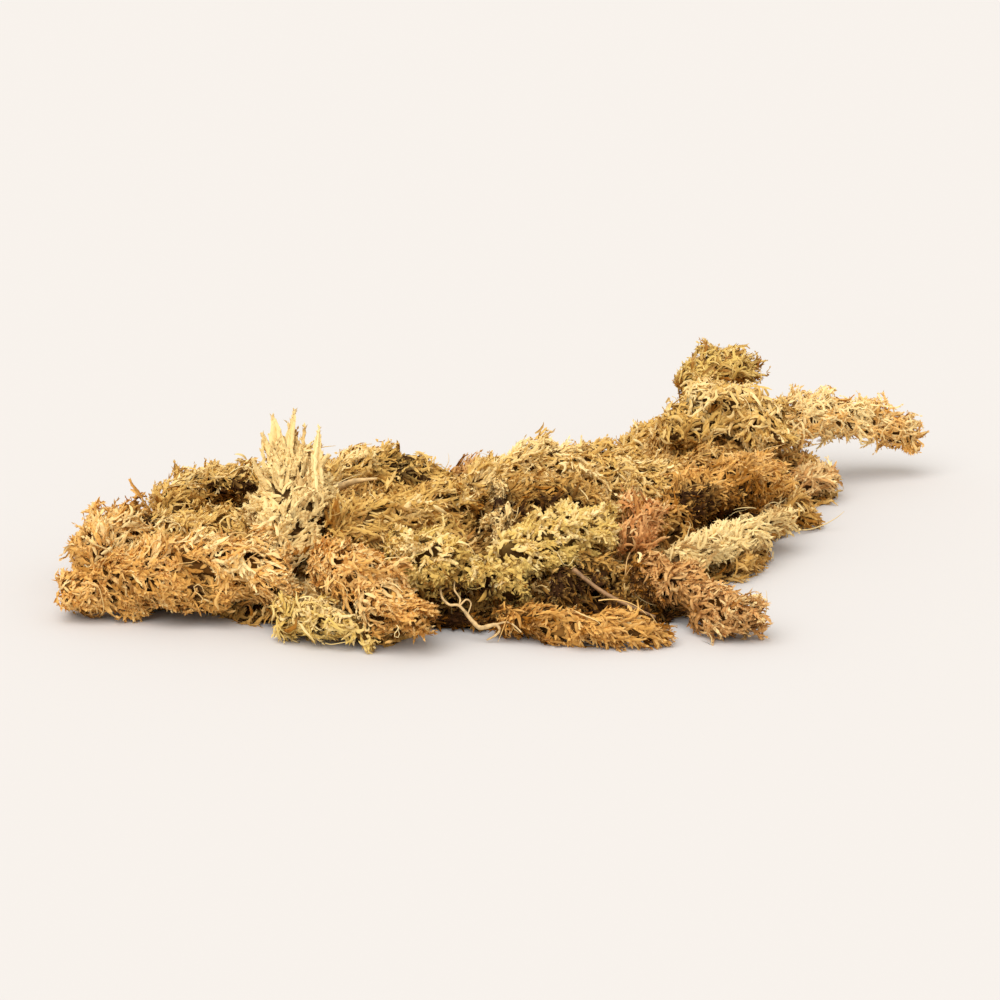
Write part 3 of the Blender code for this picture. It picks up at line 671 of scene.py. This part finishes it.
def undermoss(node, guide=None):
    """The body that shows between the branches, painted dark as shade: the node's own form, drawn in.

    It is drawn in towards its guide, or sunk along its outward directions where it has none. It
    follows the relief, is roughened by short waves, and stays below the nearest skin point.
    """
    points, faces, outs = merged(triangles_of(node))
    rows, faces = finer(np.hstack([points, outs]), faces)
    points, outs = rows[:, :3], unit(rows[:, 3:])
    dip = np.minimum(relief(points), 0)[:, None] * bpy.context.scene.moss_sizes.relief
    if guide is None:
        sunk = np.minimum(SUNK, 0.4 * points[:, 2] + 0.3 * MM)[:, None]
        points = points - outs * sunk + outs * dip
    else:
        near, distance = nearest(guide.place, points)
        radius = guide.radius[near][:, None]
        kept = np.clip(KEPT + 0.8 * dip / radius, LEAST_KEPT, 0.7 * radius / distance[:, None])
        points = guide.place[near] + (points - guide.place[near]) * kept
    points = points + outs * (waves(points, 4 * MM, 11) * ROUGH * MM)[:, None]
    stands, up = height_over(skin_of(node), points)
    points = points - up * np.maximum(stands + UNDER_SKIN, 0)
    # Old in tint, and mostly the deep colour, which is painted shade, darker still in the hollows.
    tint = 0.2 + 0.1 * waves(points, 9 * MM, 12)
    along = 0.13 + 0.04 * waves(points, 5 * MM, 14) - 0.12 * spots(points, HOLLOWS)
    return Growth(points, faces, tint, along, waves(points, 3 * MM, 13))


def piece_of(name, parts, material):
    """One smooth object out of several sets of points and triangles, all of it over the floor."""
    starts = np.cumsum([0, *(len(points) for points, _ in parts)])
    points = np.vstack([points for points, _ in parts])
    points[:, 2] = np.maximum(points[:, 2], FLOOR_GAP)
    mesh = bpy.data.meshes.new(name)
    mesh.from_pydata(points, [], np.vstack([faces + start for (_, faces), start in zip(parts, starts)]))
    mesh.shade_smooth()
    mesh.materials.append(material)
    return linked(name, mesh)


def linked(name, data):
    """A new object in the scene."""
    obj = bpy.data.objects.new(name, data)
    bpy.context.scene.collection.objects.link(obj)
    return obj


def leafy(name, growths, material):
    """One object out of several growths, with what its material reads.

    Its points hold tint and along, and its map lays each point at its tint, moved a little to its
    side, and its along.
    """
    piece = piece_of(name, [(g.points, g.faces) for g in growths], material)
    mesh, edge = piece.data, 0.02
    tint, along, side = (
        np.concatenate([getattr(g, each) for g in growths]).clip(low, 1)
        for each, low in (("tint", 0), ("along", 0), ("side", -1)))
    for label, values in (("tint", tint), ("along", along)):
        held = mesh.attributes.new(label, "FLOAT", "POINT")
        held.data.foreach_set("value", values.astype(np.float32))
    spread = np.stack([edge + 0.96 * tint + 0.012 * side, edge + 0.96 * along], 1)
    corners = np.empty(len(mesh.loops), np.int32)
    mesh.loops.foreach_get("vertex_index", corners)
    layer = mesh.uv_layers.new(name="OFBake")
    layer.uv.foreach_set("vector", spread[corners].astype(np.float32).ravel())
    return piece


def new_group(name, inputs, outputs):
    """A shader node group with named sockets, and its input and output nodes."""
    group = bpy.data.node_groups.new(name, "ShaderNodeTree")
    for label, kind, default in inputs:
        group.interface.new_socket(label, in_out="INPUT", socket_type=kind).default_value = default
    for label, kind in outputs:
        group.interface.new_socket(label, in_out="OUTPUT", socket_type=kind)
    return group, group.nodes.new("NodeGroupInput"), group.nodes.new("NodeGroupOutput")


def feed(tree, node, inputs):
    """Gives a node's inputs their numbers and colours, or the outputs of other nodes."""
    for label, value in inputs.items():
        if isinstance(value, bpy.types.NodeSocket):
            tree.links.new(value, node.inputs[label])
        else:
            node.inputs[label].default_value = value


def add(tree, kind, inputs, **settings):
    """A new node with its settings and inputs."""
    node = tree.nodes.new(f"ShaderNode{kind}")
    for label, value in settings.items():
        setattr(node, label, value)
    feed(tree, node, inputs)
    return node


def blend_colours(group, share, one, other):
    """What goes from one colour to the other by a share."""
    return add(group, "Mix", {0: share, 6: one, 7: other}, data_type="RGBA").outputs[2]


def ranged(group, value, low, high, bottom=0.0, top=1.0):
    """What maps a value smoothly from low..high to bottom..top."""
    inputs = {"Value": value, "From Min": low, "From Max": high, "To Min": bottom, "To Max": top}
    return add(group, "MapRange", inputs, interpolation_type="SMOOTHSTEP").outputs["Result"]


def leaf_group():
    """The colour, roughness and ribs of dry leaves.

    Tint goes from old through the body colour to bleached, and along goes from the foot of a leaf,
    dark with painted shade, to its thin tip, pale by bleaching and partly by painted highlight.
    """
    name = "dry leaf"
    if name in bpy.data.node_groups:
        return bpy.data.node_groups[name]
    number, shade, grey = "NodeSocketFloat", "NodeSocketColor", (0.5, 0.5, 0.5, 1)
    group, start, end = new_group(
        name,
        [(label, number, 0.5) for label in ("Tint", "Along")]
        + [(label, shade, grey) for label in ("Body", "Old", "Deep", "Bleached")],
        [("Color", shade), ("Roughness", number), ("Height", number)],
    )
    tint, along, body, old, deep, bleached = (start.outputs[i] for i in range(6))
    # Tint picks old, body or bleached colour, and also carries painted light and shade.
    old_to_body = blend_colours(group, ranged(group, tint, 0.0, 0.5), old, body)
    tinted = blend_colours(group, ranged(group, tint, 0.5, 1.0), old_to_body, bleached)
    # The deep colour at a leaf's foot is painted shade, and the bleached tip is partly painted highlight.
    foot = blend_colours(group, ranged(group, along, 0.0, 0.4), deep, tinted)
    tip = blend_colours(group, ranged(group, along, 0.5, 0.95, 0.0, 0.5), foot, bleached)
    spot = add(group, "CombineXYZ", {0: tint, 1: along})
    cells = add(group, "TexNoise", {"Scale": 24, "Vector": spot.outputs[0]}).outputs["Fac"]
    rough = ranged(group, cells, 0.3, 0.7, 0.72, 0.95)
    feed(group, end, {"Color": tip, "Roughness": rough, "Height": cells})
    return group


def new_material(name):
    """A material, its nodes and its shader."""
    material = bpy.data.materials.new(name)
    material.use_nodes = True
    return material, material.node_tree, material.node_tree.nodes["Principled BSDF"]


def moss_material(slot):
    """Dry leaves in a slot's colour, by the tint and along that the mesh holds."""
    name = f"{slot} moss"
    if name in bpy.data.materials:
        return bpy.data.materials[name]
    colours = bpy.context.scene.moss_colours
    material, tree, shader = new_material(name)
    inputs = {
        label: add(tree, "Attribute", {}, attribute_name=label.lower()).outputs["Fac"]
        for label in ("Tint", "Along")}
    for label, name in (("Body", slot), ("Old", "old"), ("Deep", "deep"), ("Bleached", "bleached")):
        inputs[label] = (*getattr(colours, name), 1)
    leaf = add(tree, "Group", inputs, node_tree=leaf_group()).outputs
    bump = add(tree, "Bump", {"Distance": 0.1 * MM, "Strength": 0.4, "Height": leaf["Height"]})
    feed(tree, shader, {
        "Base Color": leaf["Color"], "Roughness": leaf["Roughness"], "Normal": bump.outputs["Normal"],
        "Specular IOR Level": 0.12})
    return material


def headings(flow, skin, turn):
    """The flow laid flat on the skin, and turned on it by a strand's own angle and a shared one.

    The second is shared by neighbours, and parts the moss into locks.
    """
    flat = unit(flow - skin.out * dot(flow, skin.out))
    turn = turn + math.radians(28) * waves(skin.place, PARTINGS, 41)[:, None]
    return flat * np.cos(turn) + np.cross(skin.out, flat) * np.sin(turn)


def bleached_by_chance(many, rng):
    """What tint gains where a strand is one of the few that have gone pale."""
    return np.where(rng.random(many) < PALE_SHARE, PALE_GAIN, 0)


# What one set of roots is given: the skin that it grows on, its places there, the way it grows at each,
# how far that goes on, how far back a side shoot's foot is, its habit, its middle tint, and the random
# draws.
Bed = namedtuple("Bed", "skin roots flow left back habit middle rng")


def branches(bed):
    """Leafy branches in groups that root at one place, lie along the flow and creep over the skin.

    Most end just over the skin and some in wild tips. Those of a side shoot start at its foot.
    """
    skin, roots, flow, left, back, habit, middle, rng = bed
    sizes = bpy.context.scene.moss_sizes
    many = len(roots.place) * STRANDS_TOGETHER
    aside = rng.normal(0, math.radians(12), (len(roots.place), 1))
    shade = rng.normal(0, 0.09, len(roots.place)) + tint_at(roots, middle)
    place, out, flow, left, back, aside, shade = (
        np.repeat(a, STRANDS_TOGETHER, axis=0) for a in (*roots, flow, left, back, aside, shade))
    length = np.minimum(habit.branch * MM * rng.uniform(*LENGTHS, many), left + 2 * MM) + 0.5 * back
    wild = rng.random(many) < habit.wild
    heading = headings(flow, Skin(place, out), aside + rng.normal(0, math.radians(10), (many, 1)))
    place = place + np.cross(out, heading) * rng.normal(0, 0.7 * MM, (many, 1))
    place = place - heading * length[:, None] * BRANCH_BACK - flow * back[:, None]
    tips = np.where(wild, sizes.wild_height, sizes.tip_height) * rng.uniform(0.2, 1.2, many)
    share = np.linspace(0, 1, STRIDES + 1)
    depth = -sizes.root_depth * rng.uniform(0.4, 1.2, (many, 1))
    heights = depth * (1 - share**0.8) + tips[:, None] * share
    wander = math.radians(habit.wander)
    curl = rng.normal(0, wander * 0.8, (many, 1)) + rng.normal(0, wander, (many, STRIDES))
    curl = curl * (0.6 + 0.9 * share[1:]) * np.where(wild, 1.6, 1)[:, None]
    stands, out = height_over(skin, place)
    place = place + out * np.clip(heights[:, :1] - stands, -2 * MM, 2 * MM)
    rise = sizes.relief * share**0.7
    paths, outs = crept(skin, place, out, heading, heights, rise, length / STRIDES, curl)
    tint = shade + rng.normal(0, 0.1, many) + bleached_by_chance(many, rng)
    scale = sizes.size * np.clip(0.7 + 0.3 * length / (habit.branch * MM), 0.6, 1.1)
    half = habit.half * MM * scale * rng.uniform(0.7, 1.2, many)
    # Painted shade darkens the strands in the dips and hollows.
    along = rng.uniform(0.29, 0.44, many) - painted_shade(place)
    body = blades(paths, outs, half, rng.normal(0, 0.5, many), tint, along, rng)
    return [body, leaves_round(paths, outs, habit, sizes.leaves, tint, along, scale, rng)]


def bends(many, lift, droop, curl, wriggle, rng):
    """How free strands bend, by chance, in radians, out of ranges and spreads in degrees."""
    lifts = np.radians(rng.uniform(*lift, many))
    droops = lifts + np.radians(rng.uniform(*droop, many))
    return lifts, droops, np.radians(rng.normal(0, curl, many)), np.radians(rng.normal(0, wriggle, many))


def curls(bed):
    """Curled branchlets, round and blunt like worms, that lift off the skin and bend back to it."""
    roots, habit, rng = bed.roots, bed.habit, bed.rng
    many, sizes = len(roots.place), bpy.context.scene.moss_sizes
    heading = headings(bed.flow, roots, rng.normal(0, math.radians(28), (many, 1)))
    length = np.minimum(habit.curl * MM * rng.uniform(*LENGTHS, many), 0.6 * bed.left + 1.6 * MM)
    bent = bends(many, (0, 26), (10, 60), 40 + 2.4 * habit.wander, 30, rng)
    sunk = (0.8 * relief(roots.place) * sizes.relief + rng.uniform(-1.2, -0.1, many) * MM)[:, None]
    start = roots.place + roots.out * sunk - heading * length[:, None] * CURL_BACK
    start = start - bed.flow * bed.back[:, None] * 0.7
    paths, outs = arcs(start, heading, roots.out, length, *bent, CURL_STEPS)
    tint = tint_at(roots, bed.middle) + rng.normal(0.03, 0.10, many) + bleached_by_chance(many, rng)
    half = habit.broad * MM * sizes.size * rng.uniform(0.6, 1.3, many)
    twist = np.radians(rng.normal(0, 50, many))
    # Painted shade darkens the branchlets in the dips and hollows.
    along = rng.uniform(0.3, 0.52, many) - painted_shade(roots.place)
    return [blades(paths, outs, half, twist, tint, along, rng)]


def wisps(bed):
    """Hair-thin bare stems that lie loosely over the moss in long bends."""
    roots, rng = bed.roots, bed.rng
    many = len(roots.place)
    heading = headings(bed.flow, roots, rng.uniform(-1.2, 1.2, (many, 1)))
    length = rng.uniform(4, 10, many) * MM
    bent = bends(many, (0, 25), (5, 40), 110, 50, rng)
    start = roots.place + roots.out * 0.2 * MM - heading * length[:, None] * CURL_BACK
    paths, outs = arcs(start, heading, roots.out, length, *bent, WISP_STEPS)
    radius = rng.uniform(0.08, 0.16, many) * MM
    # Painted shade darkens the wisps in the dips and hollows.
    along = rng.uniform(0.4, 0.7, many) - painted_shade(roots.place)
    return [threads(paths, outs, radius, rng.uniform(0.55, 0.95, many), along)]


def spots(places, where):
    """How far each place lies in a set of spots: the sum of exp(-(d / reach)²), and 1 at most."""
    share = np.zeros(places.shape[:-1])
    for *middle, reach in where:
        away = np.linalg.norm(places - (np.array(middle) + ZERO) * MM, axis=-1) / (reach * MM)
        share = share + np.exp(-(away**2))
    return np.minimum(share, 1)


def relief(places):
    """How high the moss stands over the skin, as a share of the relief's size.

    Waves of two lengths take it up to about 1 on the locks and down to about -2 between them, and
    it is lower in the hollows.
    """
    height = 0.65 * waves(places, LOCKS, 31) + 0.5 * waves(places, DIPS, 32)
    return np.where(height < 0, 1.5 * height, height).clip(-1.8, 0.9) - 1.7 * spots(places, HOLLOWS)


def painted_shade(places):
    """How much painted shade darkens each place: more in the dips, and most in the hollows."""
    return 0.36 * spots(places, HOLLOWS) + 0.07 * np.clip(-relief(places), 0, 1.5)


def chosen(skin, which):
    """The skin points that a test keeps."""
    return Skin(skin.place[which], skin.out[which])


def tint_at(skin, middle):
    """Tint over a skin: round its middle value by slow waves, up on locks and where it faces up.

    It is down in the dips, in the hollows and below, and up on the pale spots. Facing up or down,
    it gets painted light and shade, and in the hollows painted shade. On the locks and in the dips it is
    partly painted light and shade and partly older moss lying lower.
    """
    slow = 0.08 * waves(skin.place, BROAD_SHADES, 21) + 0.06 * waves(skin.place, LOCK_SHADES, 22)
    # Painted shade in the hollows, and painted light and shade by height and by which way the skin faces.
    spotted = 0.16 * spots(skin.place, PALE_SPOTS) - 0.1 * spots(skin.place, HOLLOWS)
    height = relief(skin.place).clip(-1.5, 1)
    return middle + slow + spotted + 0.11 * height + 0.10 * (skin.out[:, 2] - 0.4)


# Each node's skin, once it is made.
SKINS = {}


def skin_of(node):
    """A node's skin as points about a millimetre apart, made once."""
    if node not in SKINS:
        SKINS[node] = scattered(node, 1.2 * MM, np.random.default_rng([SEED, 1, len(SKINS)]))
    return SKINS[node]


def other_skins(node):
    """The skins of all nodes but one, as one."""
    skins = [skin_of(name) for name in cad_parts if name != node]
    return Skin(np.vstack([s.place for s in skins]), np.vstack([s.out for s in skins]))


def everywhere(places):
    """All places."""
    return np.ones(len(places), bool)


def between(start, end, places):
    """Which places have an x from the start to the end, in mm."""
    return (places[:, 0] > start * MM) & (places[:, 0] <= end * MM)


def roots_on(node, spacing, here, rng):
    """Rooting places on a node in one region, few of them on its underside.

    Those that lie against a neighbour are left out.
    """
    density, underside, few = bpy.context.scene.moss_sizes.density, -0.85, 0.1
    found = scattered(node, spacing * MM / math.sqrt(density), rng)
    found = chosen(found, here(found.place))
    kept = (found.out[:, 2] > underside) | (rng.random(len(found.out)) < few)
    return chosen(found, uncovered(found, other_skins(node)) & kept)


def coat(node, habit, flow_at, rng, paler=0.0, here=everywhere):
    """All that grows on a node in one region: leafy branches, curled branchlets and wisps."""
    growths = []
    for spacing, grow in ((habit.spacing, branches), (habit.curls, curls), (WISPS_APART, wisps)):
        roots = roots_on(node, spacing, here, rng)
        ways = flow_at(roots.place)
        growths += grow(Bed(skin_of(node), roots, *ways, habit, habit.tint + paler, rng))
    return growths


def finished(piece, node):
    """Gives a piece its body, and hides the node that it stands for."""
    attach(piece, "root")
    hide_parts(node)


def grow_plant(name):
    """One rope, tuft or sprig."""
    plant = PLANTS[name]
    habit, guide = HABITS[plant.habit], guide_of(plant.line)
    rng = np.random.default_rng([SEED, 2, list(PLANTS).index(name)])
    flow_at = partial(rope_flow, guide, plant.parting)
    growths = [undermoss(name, guide), *coat(name, habit, flow_at, rng, plant.paler)]
    if name == "pale_tuft":
        growths += horns(habit, habit.tint, rng)
    finished(leafy(f"{name}_leaves", growths, moss_material(plant.slot)), name)


# Where the mat starts, and its parts from left to right with the x where each ends, in mm.
MAT_START = -200
MAT_PARTS = {"left": -38, "middle": 22, "right": 200}


def grow_mat():
    """The matted moss between and below the plants, in three parts."""
    node, start = "matted_moss", MAT_START
    body = [undermoss(node)]
    for number, (label, end) in enumerate(MAT_PARTS.items()):
        rng = np.random.default_rng([SEED, 3, number])
        growths = body + coat(node, HABITS["mat"], mat_flow, rng, here=partial(between, start, end))
        finished(leafy(f"matted_moss_{label}", growths, moss_material("mat")), node)
        body, start = [], end


def stem_material(slot):
    """Bare stem: fine streaks over its colour, from darker to paler."""
    material, tree, shader = new_material(f"bare {slot}")
    base = getattr(bpy.context.scene.moss_colours, slot)
    place = add(tree, "TexCoord", {}).outputs["Object"]
    streaks = add(tree, "TexNoise", {"Scale": 900, "Detail": 3, "Vector": place}).outputs["Fac"]
    ramp = add(tree, "ValToRGB", {"Fac": streaks})
    for stop, position, light in zip(ramp.color_ramp.elements, (0.35, 0.65), (0.6, 1.15)):
        stop.position, stop.color = position, (*(min(c * light, 1) for c in base), 1)
    bump = add(tree, "Bump", {"Distance": 0.08 * MM, "Height": streaks})
    feed(tree, shader, {
        "Base Color": ramp.outputs["Color"], "Roughness": 0.6, "Normal": bump.outputs["Normal"]})
    return material


def stalk(line):
    """The points and faces of one closed stalk: rings round its line, and a cap at each end.

    It has knots where leaves have fallen off, seven in all.
    """
    rows = smooth_line(line, 10)
    path = (rows[:, :3] + ZERO) * MM
    share = np.linspace(0, 1, len(path))
    knots = 1 + 0.16 * np.sin(share * TAU * 7) ** 8 + 0.05 * np.sin(share * TAU * 3 + 1)
    _, side, up = (a[0] for a in frames(path[None], np.tile([0.0, 0.0, 1.0], (1, len(path), 1))))
    thick = (rows[:, 3] * MM * knots)[:, None, None]
    points = (path[:, None] + rings(side, up, STALK_SIDES)[0] * thick).reshape(-1, 3)
    around, last = np.arange(STALK_SIDES), (len(path) - 1) * STALK_SIDES
    foot, tip = (np.full(STALK_SIDES, len(points) + end) for end in (0, 1))
    faces = [
        grid_faces(1, len(path), STALK_SIDES, True),
        np.stack([foot, (around + 1) % STALK_SIDES, around], 1),
        np.stack([tip, last + around, last + (around + 1) % STALK_SIDES], 1),
    ]
    return np.vstack([points, path[[0, -1]]]), np.vstack(faces)


def grow_stem(name):
    """One bare stem with the fibres that branch off it."""
    slot, lines = STEMS[name]
    stem = piece_of(f"{name}_bark", [stalk(line) for line in lines], stem_material(slot))
    finished(stem, name)


class GrowMat(bpy.types.Operator):
    """Grow the matted moss between and below the plants"""

    bl_idname = "moss.grow_mat"
    bl_label = "Grow mat"

    def execute(self, context):
        grow_mat()
        return {"FINISHED"}


class GrowPlants:
    """Grows every plant that takes its finish from one of its slots."""

    slots = ()

    def execute(self, context):
        for name, plant in PLANTS.items():
            if plant.slot in self.slots:
                grow_plant(name)
        return {"FINISHED"}


class GrowOrange(GrowPlants, bpy.types.Operator):
    """Grow the orange ropes, tuft and strand and the long sprig"""

    bl_idname = "moss.grow_orange"
    bl_label = "Grow orange ropes"
    slots = ("orange",)


class GrowGold(GrowPlants, bpy.types.Operator):
    """Grow the golden and golden-brown ropes"""

    bl_idname = "moss.grow_gold"
    bl_label = "Grow golden ropes"
    slots = ("gold",)


class GrowStraw(GrowPlants, bpy.types.Operator):
    """Grow the pale tuft, strand and sprig"""

    bl_idname = "moss.grow_straw"
    bl_label = "Grow pale tufts"
    slots = ("straw",)


class GrowGreen(GrowPlants, bpy.types.Operator):
    """Grow the yellow-green tufts"""

    bl_idname = "moss.grow_green"
    bl_label = "Grow green tufts"
    slots = ("green",)


class GrowBrown(GrowPlants, bpy.types.Operator):
    """Grow the brown sprigs and rope and the orange-red tuft"""

    bl_idname = "moss.grow_brown"
    bl_label = "Grow brown sprigs"
    slots = ("brown", "rust")


class GrowStems(bpy.types.Operator):
    """Grow the bare stems and the twig"""

    bl_idname = "moss.grow_stems"
    bl_label = "Grow bare stems"

    def execute(self, context):
        for name in STEMS:
            grow_stem(name)
        return {"FINISHED"}


# The camera stands where the photograph was taken from, and looks at the middle of the clump's picture.
CAMERA = Vector((-0.0562, -0.453, 0.133))
AIM = Vector((-0.0083, -0.0057, 0.0115))
# How near and how far the camera sees, and the width of its frame in mm.
SIGHT = (0.01, 20)
FRAME_WIDTH = 36
# The way that the sun's light falls, and the corners of the floor's round edge.
SUNLIGHT = Vector((0.45, 0.75, -1.25))
FLOOR_CORNERS = 96


class SetStage(bpy.types.Operator):
    """Set the floor, the light and the camera"""

    bl_idname = "moss.set_stage"
    bl_label = "Set stage"

    def execute(self, context):
        scene, stage = context.scene, context.scene.moss_stage
        bpy.ops.mesh.primitive_circle_add(
            vertices=FLOOR_CORNERS, radius=stage.reach, fill_type="NGON")
        floor = context.object
        floor.name = "floor"
        material, tree, shader = new_material("floor")
        feed(tree, shader, {
            "Base Color": (*stage.floor, 1), "Roughness": 0.8, "Specular IOR Level": 0})
        floor.data.materials.append(material)
        self.light(scene, stage)
        data = bpy.data.cameras.new("camera")
        data.lens, data.sensor_width = stage.lens, FRAME_WIDTH
        data.clip_start, data.clip_end = SIGHT
        scene.camera = linked("camera", data)
        scene.camera.location = CAMERA
        scene.camera.rotation_euler = (AIM - CAMERA).to_track_quat("-Z", "Y").to_euler()
        scene.view_settings.view_transform = "Standard"
        return {"FINISHED"}

    @staticmethod
    def light(scene, stage):
        """A wide soft sun from the upper front left, and a pale sky that shows almost white."""
        key = bpy.data.lights.new("key", "SUN")
        key.energy, key.angle = stage.key, stage.key_angle
        linked("key", key).rotation_euler = SUNLIGHT.to_track_quat("-Z", "Y").to_euler()
        scene.world = bpy.data.worlds.new("sky")
        scene.world.use_nodes = True
        tree = scene.world.node_tree
        fill = tree.nodes["Background"]
        feed(tree, fill, {"Color": (*stage.warmth, 1), "Strength": stage.fill})
        seen = add(tree, "Background", {"Color": (*stage.sky, 1)})
        camera_ray = add(tree, "LightPath", {}).outputs["Is Camera Ray"]
        mix = add(tree, "MixShader", {0: camera_ray, 1: fill.outputs[0], 2: seen.outputs[0]})
        feed(tree, tree.nodes["World Output"], {"Surface": mix.outputs[0]})


STEPS = (GrowMat, GrowOrange, GrowGold, GrowStraw, GrowGreen, GrowBrown, GrowStems, SetStage)


class MossPanel(bpy.types.Panel):
    """Lists the clump's sizes, colours and steps"""

    bl_idname = "VIEW3D_PT_moss_clump"
    bl_label = "Moss clump"
    bl_space_type = "VIEW_3D"
    bl_region_type = "UI"
    bl_category = "Moss clump"

    def draw(self, context):
        for group in (context.scene.moss_sizes, context.scene.moss_colours, context.scene.moss_stage):
            box = self.layout.box()
            for name in group.__annotations__:
                box.prop(group, name)
        for step in STEPS:
            self.layout.operator(step.bl_idname)


GROUPS = {"moss_sizes": MossSizes, "moss_colours": MossColours, "moss_stage": MossStage}


def register():
    for each in (*GROUPS.values(), *STEPS, MossPanel):
        bpy.utils.register_class(each)
    for name, group in GROUPS.items():
        setattr(bpy.types.Scene, name, PointerProperty(type=group))


def unregister():
    for name in GROUPS:
        delattr(bpy.types.Scene, name)
    for each in reversed((*GROUPS.values(), *STEPS, MossPanel)):
        bpy.utils.unregister_class(each)


def main():
    register()
    for name in ("Cube", "Light", "Camera"):
        if name in bpy.data.objects:
            bpy.data.objects.remove(bpy.data.objects[name])
    bpy.ops.moss.grow_mat()
    bpy.ops.moss.grow_orange()
    bpy.ops.moss.grow_gold()
    bpy.ops.moss.grow_straw()
    bpy.ops.moss.grow_green()
    bpy.ops.moss.grow_brown()
    bpy.ops.moss.grow_stems()
    bpy.ops.moss.set_stage()
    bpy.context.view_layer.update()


if __name__ == "__main__":
    main()
